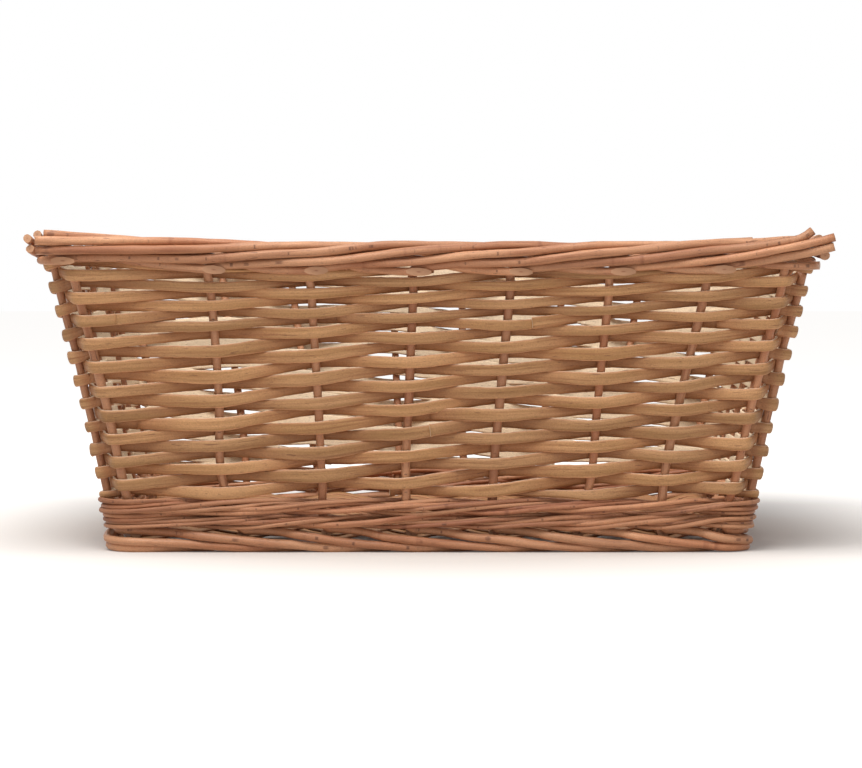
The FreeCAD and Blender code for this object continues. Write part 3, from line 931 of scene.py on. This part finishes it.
@dataclass
class Wale:
    """Two rounds of three strands, each outside two stations, low and then high, and behind the third.

    A strand is a pair of thin rods that lie side by side and turn slowly round each other.
    """

    wall: Wall
    diameter: float = 3.4
    rounds: int = 2
    strands: int = 3
    standoff: float = 0.5
    thin: float = 2.4
    apart: float = 1.2
    flatten: float = 0.7
    twist: float = 900.0
    start_on: int = 4
    bay: float = 46.0
    spacing: float = 2.6

    def half_corner(self, station: int) -> float:
        """Bays that a corner takes to each side of its station, or none at the other stations."""
        return self.wall.corner if station % self.wall.stations in self.wall.corners else 0.0

    def strand(self, strand: int, course: int, rng: np.random.Generator) -> Skin:
        """One strand of one round, which starts and ends behind the same stake.

        Its two rods lie to both sides of the strand's path, at a distance times cos t out and sin t up, where
        t grows along it with a slow wave of its own.

        Args:
            strand: Number of the strand.
            course: Number of the round, from the lower one.
            rng: Source of the irregularities.

        Returns:
            The surface of the pair.
        """
        wall = self.wall
        layer = self.diameter + wall.gap
        inside = wall.stake / 2 + self.diameter / 2
        passes = ((inside + self.standoff, -layer / 2, None), (inside + self.standoff, layer / 2, layer / 2),
                  (-inside, 0.0, -layer / 2))
        z = wall.fold + 0.15 * wall.spacing + layer * (1 + 2 * course)
        behind = [u for u in range(wall.stations)
                  if (u - strand) % self.strands == 2 and u not in wall.corners]
        first = behind[self.start_on * course % len(behind)]
        stops = []
        for station in range(first, first + wall.stations):
            square, up, crossing = passes[(station - strand) % self.strands]
            share = self.half_corner(station)
            for u in sorted({station - share, station + share}):
                stops.append((u, *wall.by_wall(square, up, z, wall.lean_low)))
            if crossing is not None:
                after = station + 1 - self.half_corner(station + 1)
                stops.append(((station + share + after) / 2, *wall.by_wall(0.0, crossing, z, wall.lean_low)))
        stops.append((first + wall.stations, *stops[0][1:]))
        flat = smooth_line(np.array(stops) * [self.bay, 1, 1], self.spacing)
        along = run_length(flat)
        u = flat[:, 0] / self.bay
        turn = 2 * np.pi * (along / self.twist + rng.random()) + 0.8 * waver(along, (150.0, 260.0), rng)
        skin = Skin()
        for sign in (-1, 1):
            out = flat[:, 1] + sign * self.flatten * self.apart * np.cos(turn)
            out = out + 0.25 * waver(along, (60.0, 90.0), rng)
            height = flat[:, 2] + sign * self.apart * np.sin(turn) + 0.35 * waver(along, (55.0, 120.0), rng)
            path, outward = wall.ring(u, out, height), wall.outward(u, height)
            skin.carry(*Rod(self.thin * rng.uniform(0.88, 1.1), 0.85, 8).rings(path, outward, rng))
        return skin

    def build(self, finish: bpy.types.Material) -> None:
        """Make one object for the rods of each strand.

        Args:
            finish: Material of thin round willow.
        """
        rng = np.random.default_rng(Seed.WALE.value)
        for strand in range(self.strands):
            skin = merged([self.strand(strand, course, rng) for course in range(self.rounds)])
            skin.build(f"wale_strand_{strand + 1}", finish, Slot.ROUND.value, [f"wale_rods_{strand + 1}"])


@dataclass
class Base:
    """Flat base: crosswise sticks with pairs of lengthwise bands woven over and under them."""

    wall: Wall
    pairs: int = 18
    spacing: float = 3.0
    clear: float = 0.1
    band: Band = field(default_factory=lambda: Band(0.95, 0.85, 12))
    # Share of the tone that the base's bands keep: painted shade that makes them darker and more even.
    shade: float = 0.4

    def sticks(self, rng: np.random.Generator) -> Skin:
        """Round sticks from the front of the base to its back, at the stakes of the front.

        Args:
            rng: Source of the irregularities.

        Returns:
            Their surface.
        """
        low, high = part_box("base_sticks")
        height, diameter = (low.z + high.z) / 2 / MM, (high.z - low.z) / MM / math.cos(math.pi / 6)
        skin = Skin()
        for place in self.wall.places()[:self.wall.bays[0] + 1]:
            x = self.wall.ring(np.array(place), np.array(0.0), np.array(height))[0]
            y = np.linspace(low.y, high.y, 70) / MM
            path = np.stack([x + 0.4 * waver(y, (120.0, 200.0), rng), y, np.full_like(y, height)], axis=1)
            skin.carry(*Rod(diameter, 0.92).rings(path, np.tile([0.0, 0.0, 1.0], (len(y), 1)), rng))
        return skin

    def bands(self, rows: range, rng: np.random.Generator) -> Skin:
        """Pairs of bands of some rows: their height is a rounded saw wave of the sticks passed.

        The rows lie evenly between the front of the first packed band and the back of the last, and the last
        one of the first set is the last but one of all.

        Args:
            rows: Numbers of the rows, from the front.
            rng: Source of the irregularities.

        Returns:
            The surface of the bands.
        """
        low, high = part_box("base_weavers_a")
        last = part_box("base_weavers_b")[1]
        stick_low, stick_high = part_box("base_sticks")
        height = (stick_low.z + stick_high.z) / 2 / MM
        reach = (high.z - low.z) / 2 / MM - 1.1
        pitch = (last.y - high.y) / MM
        width = (last.y - low.y) / MM - (self.pairs - 1) * pitch
        x = np.arange(low.x / MM, high.x / MM, self.spacing)
        posts = self.wall.ring(self.wall.places()[:self.wall.bays[0] + 1], 0.0, height)[:, 0]
        step = np.interp(x, posts, np.arange(len(posts)))
        skin = Skin()
        for row in rows:
            for half in (-0.25, 0.25):
                y = low.y / MM + width / 2 + pitch * row + half * pitch + 0.25 * waver(x, (70.0, 160.0), rng)
                path = np.stack([x, y, height + reach * saw(step + row)], axis=1)
                size = (pitch / 2 - self.clear) * (1 + 0.05 * waver(x, (90.0, 170.0), rng))
                upward = np.tile([0.0, 0.0, 1.0], (len(x), 1))
                rings, marks = self.band.rings(path, upward, size, 0 * x, rng)
                # Painted shade: the deep mark is full on the split underside of each band and 0.45 on the
                # bark side, which faces up; both sides keep the bark's colours, and the tone is scaled by the
                # shade share, which darkens the bands.
                marks["deep"] = 1 - 0.55 * marks["bud"]
                marks["bud"] = np.ones_like(marks["bud"])
                marks["tone"] = self.shade * marks["tone"]
                skin.carry(rings, marks)
        return skin

    def build(self, round_finish: bpy.types.Material, split_finish: bpy.types.Material) -> None:
        """Make the sticks and the two sets of bands.

        Args:
            round_finish: Material of round willow.
            split_finish: Material of split willow.
        """
        rng = np.random.default_rng(Seed.BASE.value)
        self.sticks(rng).build("base_sticks_laid", round_finish, Slot.ROUND.value, ["base_sticks"])
        for name, first in (("a", 0), ("b", 1)):
            skin = self.bands(range(first, self.pairs, 2), rng)
            skin.build(f"base_bands_{name}", split_finish, Slot.SPLIT.value, [f"base_weavers_{name}"])


def srgb(code: str) -> tuple[float, float, float, float]:
    """Linear colour of a hexadecimal sRGB one.

    Args:
        code: Colour as a hash and six digits.

    Returns:
        Red, green and blue from 0 to 1, and a full alpha.
    """
    parts = [int(code[k:k + 2], 16) / 255 for k in (1, 3, 5)]
    return (*[c / 12.92 if c <= 0.04045 else ((c + 0.055) / 1.055) ** 2.4 for c in parts], 1.0)


def node(tree: bpy.types.NodeTree, kind: str, inputs: dict | None = None,
         **settings: object) -> bpy.types.Node:
    """Add a node, with its settings and with inputs that are values or sockets to link.

    Args:
        tree: Node tree that takes it.
        kind: Node type without its ShaderNode prefix.
        inputs: Values or output sockets by input name or number.
        settings: Properties of the node.

    Returns:
        The new node.
    """
    made = tree.nodes.new("ShaderNode" + kind)
    for name, value in settings.items():
        setattr(made, name, value)
    for name, value in (inputs or {}).items():
        if isinstance(value, bpy.types.NodeSocket):
            tree.links.new(value, made.inputs[name])
        else:
            made.inputs[name].default_value = value
    return made


# Scars of side shoots and bark left in them: the small dark marks that tell willow from cane.
SPECK = "#553020"
EYE = "#5E3422"
# Willow's skin reflects a little less than a plain plastic, whose level is 0.5.
SPECULAR = 0.42
# Height of the relief between fibres, in metres.
RELIEF = 0.0003


@dataclass(frozen=True)
class Willow:
    """A willow finish, whose grain follows each piece by its own values.

    Every vertex carries how far along its piece it lies, where across or round it, a tone of its own for the
    whole piece, where a bud or the bark is, and how deep behind its neighbours it lies, so that streaks run
    with the wood wherever a rod bends and painted shade darkens what lies deep. The colours are hexadecimal:
    two that drift into each other, the stain of streaks and buds, the cut edges, the cut ends and the split
    side, and a darker, redder one for the painted shade of wood that lies deep behind others, which also
    gives the pith of the cut ends.
    """

    name: str
    pale: str
    deep: str
    stain: str
    edge: str
    end: str
    hidden: str
    roughness: float
    is_split: bool = False

    def mix(self, tree: bpy.types.NodeTree, share: object, first: object,
            second: object) -> bpy.types.NodeSocket:
        """Blend of two colours.

        Args:
            tree: Node tree of the material.
            share: How much of the second shows, a number or a socket.
            first: Hexadecimal code or socket.
            second: Hexadecimal code or socket.

        Returns:
            Socket of the blend.
        """
        made = node(tree, "Mix", {0: share}, data_type="RGBA", clamp_factor=True)
        for socket, value in ((made.inputs[6], first), (made.inputs[7], second)):
            if isinstance(value, str):
                socket.default_value = srgb(value)
            else:
                tree.links.new(value, socket)
        return made.outputs[2]

    def ramp(self, tree: bpy.types.NodeTree, value: bpy.types.NodeSocket, low: float, high: float,
             top: float = 1.0, bottom: float = 0.0) -> bpy.types.NodeSocket:
        """Value spread from low..high to bottom..top, with soft ends.

        Args:
            tree: Node tree of the material.
            value: Socket of the value.
            low: Value at and below which the bottom holds.
            high: Value at and above which the top holds.
            top: Result there.
            bottom: Result at the other end.

        Returns:
            Socket of the result.
        """
        inputs = {0: value, 1: low, 2: high, 3: bottom, 4: top}
        return node(tree, "MapRange", inputs, interpolation_type="SMOOTHSTEP").outputs[0]

    def material(self) -> bpy.types.Material:
        """Make the material.

        The two main colours drift over the wood, streaks and fibres stain it, edges take their own colour,
        places deep behind their neighbours turn to a darker painted shade, dark specks and eyes lie on it,
        and each piece is a little brighter or darker than the next.

        Returns:
            The material.
        """
        made = bpy.data.materials.new(self.name)
        made.use_nodes = True
        tree = made.node_tree
        tree.nodes.clear()
        value = {key: node(tree, "Attribute", attribute_name=key).outputs["Fac"]
                 for key in ("along", "turn", "tone", "bud", "ray", "cut", "deep")}

        def grain(lengthwise: float, crosswise: float, detail: float = 3.0) -> bpy.types.NodeSocket:
            """Noise stretched along the wood, with a slice of its own for each piece.

            Args:
                lengthwise: Cells in a metre along the wood.
                crosswise: Cells in half of a band's width, or half way round a rod.
                detail: Number of finer copies of the noise that are added.

            Returns:
                Socket of the noise.
            """
            parts = [node(tree, "Math", {0: value[key], 1: scale}, operation="MULTIPLY").outputs[0]
                     for key, scale in (("along", lengthwise), ("turn", crosswise), ("tone", 57.0))]
            vector = node(tree, "CombineXYZ", dict(enumerate(parts))).outputs[0]
            return node(tree, "TexNoise", {"Vector": vector, "Scale": 1.0, "Detail": detail}).outputs[0]

        # A bundle of fibres, 11 mm long and 0.3 to 0.4 mm wide: single ones are too fine to show.
        fibre = grain(90.0, 9.0 if self.is_split else 16.0, 4.0)
        # A streak, about 38 mm long and 1 to 2 mm wide.
        streak = grain(26.0, 2.6 if self.is_split else 4.0)
        # Drift of the tan, about 70 mm long and as wide as the piece.
        cloud = grain(14.0, 0.9, 2.0)
        # Pores, drawn 0.7 mm wide, as the real ones of a tenth of that are too fine to show.
        place = node(tree, "TexCoord").outputs["Object"]
        pore = node(tree, "TexNoise", {"Vector": place, "Scale": 1500.0, "Detail": 2.0}).outputs[0]
        # Specks up to 3 mm long and 0.3 to 0.6 mm wide, and eyes up to 9 mm long and 0.7 to 1.5 mm wide.
        speck, eye = grain(330.0, 11.0, 1.0), grain(110.0, 4.5, 1.0)
        layers = [(streak, 0.48, 0.8, 0.7, self.stain), (fibre, 0.45, 0.75, 0.22, self.stain)]
        if self.is_split:
            rim = node(tree, "Math", {0: value["turn"]}, operation="ABSOLUTE").outputs[0]
            inner = node(tree, "Math", {0: 1.0, 1: value["bud"]}, operation="SUBTRACT").outputs[0]
            # The cut edges and the split side are the wood's own colours; the deep mark is painted shade,
            # towards the darker, redder hidden colour.
            layers += [(rim, 0.72, 0.97, 0.8, self.edge), (value["deep"], 0.1, 0.9, 0.62, self.hidden),
                       (inner, 0.3, 0.7, 0.8, self.end)]
        else:
            knot = node(tree, "Math", {0: value["bud"], 1: cloud}, operation="MULTIPLY").outputs[0]
            # Painted shade: the deep mark turns the rod towards the darker, redder hidden colour.
            layers += [(knot, 0.3, 0.62, 0.6, self.stain), (value["deep"], 0.1, 0.9, 0.55, self.hidden)]
        layers += [(speck, 0.67, 0.75, 0.7, SPECK), (eye, 0.69, 0.75, 0.6, EYE)]
        colour = self.mix(tree, self.ramp(tree, cloud, 0.32, 0.7), self.pale, self.deep)
        for mask, low, high, top, tint in layers:
            colour = self.mix(tree, self.ramp(tree, mask, low, high, top), colour, tint)
        bright = node(tree, "MapRange", {0: value["tone"], 1: 0.0, 2: 1.0, 3: 0.86, 4: 1.12}).outputs[0]
        grainy = node(tree, "MapRange", {0: pore, 1: 0.25, 2: 0.75, 3: 0.86, 4: 1.14}).outputs[0]
        bright = node(tree, "Math", {0: bright, 1: grainy}, operation="MULTIPLY").outputs[0]
        colour = node(tree, "HueSaturation", {"Value": bright, "Color": colour}).outputs[0]
        pith = self.mix(tree, self.ramp(tree, value["ray"], 0.02, 0.3, 0.75, 0.25), self.hidden, self.end)
        colour = self.mix(tree, value["cut"], colour, pith)
        height = fibre
        for other in (streak, pore):
            height = node(tree, "Math", {0: height, 1: other}, operation="ADD").outputs[0]
        bump = node(tree, "Bump", {"Strength": 0.5, "Distance": RELIEF, "Height": height}).outputs[0]
        rough = self.ramp(tree, streak, 0.3, 0.7, self.roughness + 0.1, self.roughness - 0.06)
        shader = node(tree, "BsdfPrincipled", {"Base Color": colour, "Roughness": rough, "Normal": bump})
        shader.inputs["Specular IOR Level"].default_value = SPECULAR
        out = node(tree, "OutputMaterial", {"Surface": shader.outputs[0]})
        out.is_active_output = True
        return made


# In each finish the hidden colour, the last one, is painted shade for wood that lies deep behind others; it
# also gives the pith of the cut ends.
# Rods boiled in their bark and peeled: the tannin leaves a reddish buff, browner in streaks and at the buds,
# and the peeled skin gives the eye a soft satin gloss.
ROUND_WILLOW = Willow("Round buff willow, boiled and peeled", "#CA946E", "#AC724F", "#824A2E", "#D8AC88",
                      "#C89A76", "#8C5233", 0.5)
# Thinner rods of the wale: a shade redder and darker, with the same soft gloss.
WALE_WILLOW = Willow("Thin buff willow, boiled and peeled", "#C48C66", "#985F40", "#66371F", "#D8AC88",
                     "#B8865E", "#824829", 0.52)
# Split and shaved bands: matt, olive tan on the rounded side, pinker and paler where the knife cut the edges,
# and cream on the split side, which the boiling hardly reached.
SPLIT_WILLOW = Willow("Split buff willow, shaved", "#C29264", "#A27648", "#835334", "#CE946C",
                      "#EFDABA", "#8C522E", 0.56, True)


@dataclass
class Studio:
    """Floor, light and camera: level with the rim and straight in front, as a basket is usually shown.

    Lengths are in metres, but for the lens and sensor in mm; angles are in degrees and power in watts. The
    floor's own paint shows within the clear distance from the middle, and white has faded in at the fade
    distance.
    """

    distance: float = 1.50
    height: float = 0.152
    lens: float = 127.8
    pitch: float = 2.50
    aside: float = 0.001
    sensor: float = 36.0
    floor_half: float = 6.0
    paint: tuple[float, ...] = (0.68, 0.64, 0.6, 1.0)
    clear: float = 0.16
    fade: float = 0.45
    white: float = 0.75
    room: float = 0.34
    above: tuple[float, ...] = (-0.25, -0.6, 1.35)
    above_power: float = 23.6
    front: tuple[float, ...] = (0.6, -1.6, 0.5)
    front_power: float = 3.0
    lamp_size: float = 0.9

    def seen(self, tree: bpy.types.NodeTree) -> bpy.types.NodeSocket:
        """One for rays from the camera and in gloss or glass, and nothing for those that light the basket.

        Args:
            tree: Node tree that takes the nodes.

        Returns:
            Socket of the number.
        """
        ray = node(tree, "LightPath").outputs
        seen = ray["Is Camera Ray"]
        for other in ("Is Glossy Ray", "Is Transmission Ray"):
            seen = node(tree, "Math", {0: seen, 1: ray[other]}, operation="MAXIMUM").outputs[0]
        return seen

    def floor(self) -> None:
        """Plain pale floor that keeps the basket's shadow and turns to white further away."""
        half = self.floor_half
        mesh = bpy.data.meshes.new("floor")
        mesh.from_pydata([(-half, -half, 0), (half, -half, 0), (half, half, 0), (-half, half, 0)], [],
                         [(0, 1, 2, 3)])
        made = bpy.data.materials.new("Floor paint, matt white")
        made.use_nodes = True
        tree = made.node_tree
        tree.nodes.clear()
        place = node(tree, "TexCoord").outputs["Object"]
        away = node(tree, "VectorMath", {0: place}, operation="LENGTH").outputs["Value"]
        spread = {0: away, 1: self.clear, 2: self.fade, 3: 0.02, 4: self.white}
        far = node(tree, "MapRange", spread).outputs[0]
        seen = node(tree, "Math", {0: self.seen(tree), 1: far}, operation="MULTIPLY").outputs[0]
        paint = node(tree, "BsdfDiffuse", {"Color": self.paint}).outputs[0]
        glow = node(tree, "Emission", {"Color": (1.0, 1.0, 1.0, 1.0), "Strength": seen}).outputs[0]
        node(tree, "OutputMaterial", {"Surface": node(tree, "AddShader", {0: paint, 1: glow}).outputs[0]})
        mesh.materials.append(made)
        floor = bpy.data.objects.new("floor", mesh)
        bpy.context.scene.collection.objects.link(floor)

    def world(self) -> None:
        """Pale room: dimmer for lighting, white to the camera and in gloss."""
        world = bpy.data.worlds.new("room")
        bpy.context.scene.world = world
        world.use_nodes = True
        tree = world.node_tree
        tree.nodes.clear()
        spread = {0: self.seen(tree), 1: 0.0, 2: 1.0, 3: self.room, 4: 1.0}
        strength = node(tree, "MapRange", spread).outputs[0]
        shade = node(tree, "Background", {"Color": (1.0, 1.0, 1.0, 1.0), "Strength": strength}).outputs[0]
        node(tree, "OutputWorld", {"Surface": shade})

    def lamp(self, name: str, place: tuple[float, ...], aim: float, power: float) -> None:
        """Square soft lamp, turned to the basket.

        Args:
            name: Its name.
            place: Where it stands.
            aim: Height of the point above the basket's middle that it is turned to.
            power: Its power.
        """
        light = bpy.data.lights.new(name, "AREA")
        light.size, light.energy = self.lamp_size, power
        lamp = bpy.data.objects.new(name, light)
        bpy.context.scene.collection.objects.link(lamp)
        way = Vector((0.0, 0.0, aim)) - Vector(place)
        lamp.location, lamp.rotation_euler = place, way.to_track_quat("-Z", "Y").to_euler()

    def camera(self) -> None:
        """Camera in front of the basket, a little below its rim and pitched down a little, in sharp focus."""
        data = bpy.data.cameras.new("camera")
        data.lens, data.sensor_width = self.lens, self.sensor
        camera = bpy.data.objects.new("camera", data)
        bpy.context.scene.collection.objects.link(camera)
        camera.location = (self.aside, CAD_BOUNDS[0][1] - self.distance, self.height)
        camera.rotation_euler = (math.radians(90 - self.pitch), 0.0, 0.0)
        bpy.context.scene.camera = camera

    def build(self) -> None:
        """Set the stage."""
        self.floor()
        self.world()
        self.lamp("softbox_above", self.above, 0.1, self.above_power)
        self.lamp("fill_front", self.front, 0.08, self.front_power)
        self.camera()
        bpy.context.scene.view_settings.view_transform = "Standard"


def main() -> None:
    """Build the basket and its stage."""
    logging.basicConfig(level=logging.INFO, format="%(message)s")
    wall = Wall()
    LOG.info("stake line %.1f by %.1f mm, siding up to %.1f mm", 2 * wall.half_length, 2 * wall.half_depth,
             wall.band_top)
    round_willow, wale_willow, split_willow = (
        finish.material() for finish in (ROUND_WILLOW, WALE_WILLOW, SPLIT_WILLOW))
    Siding(wall).build(split_willow)
    Stakes(wall).build(round_willow)
    Wale(wall).build(wale_willow)
    Base(wall).build(round_willow, split_willow)
    Studio().build()


if __name__ == "__main__":
    main()
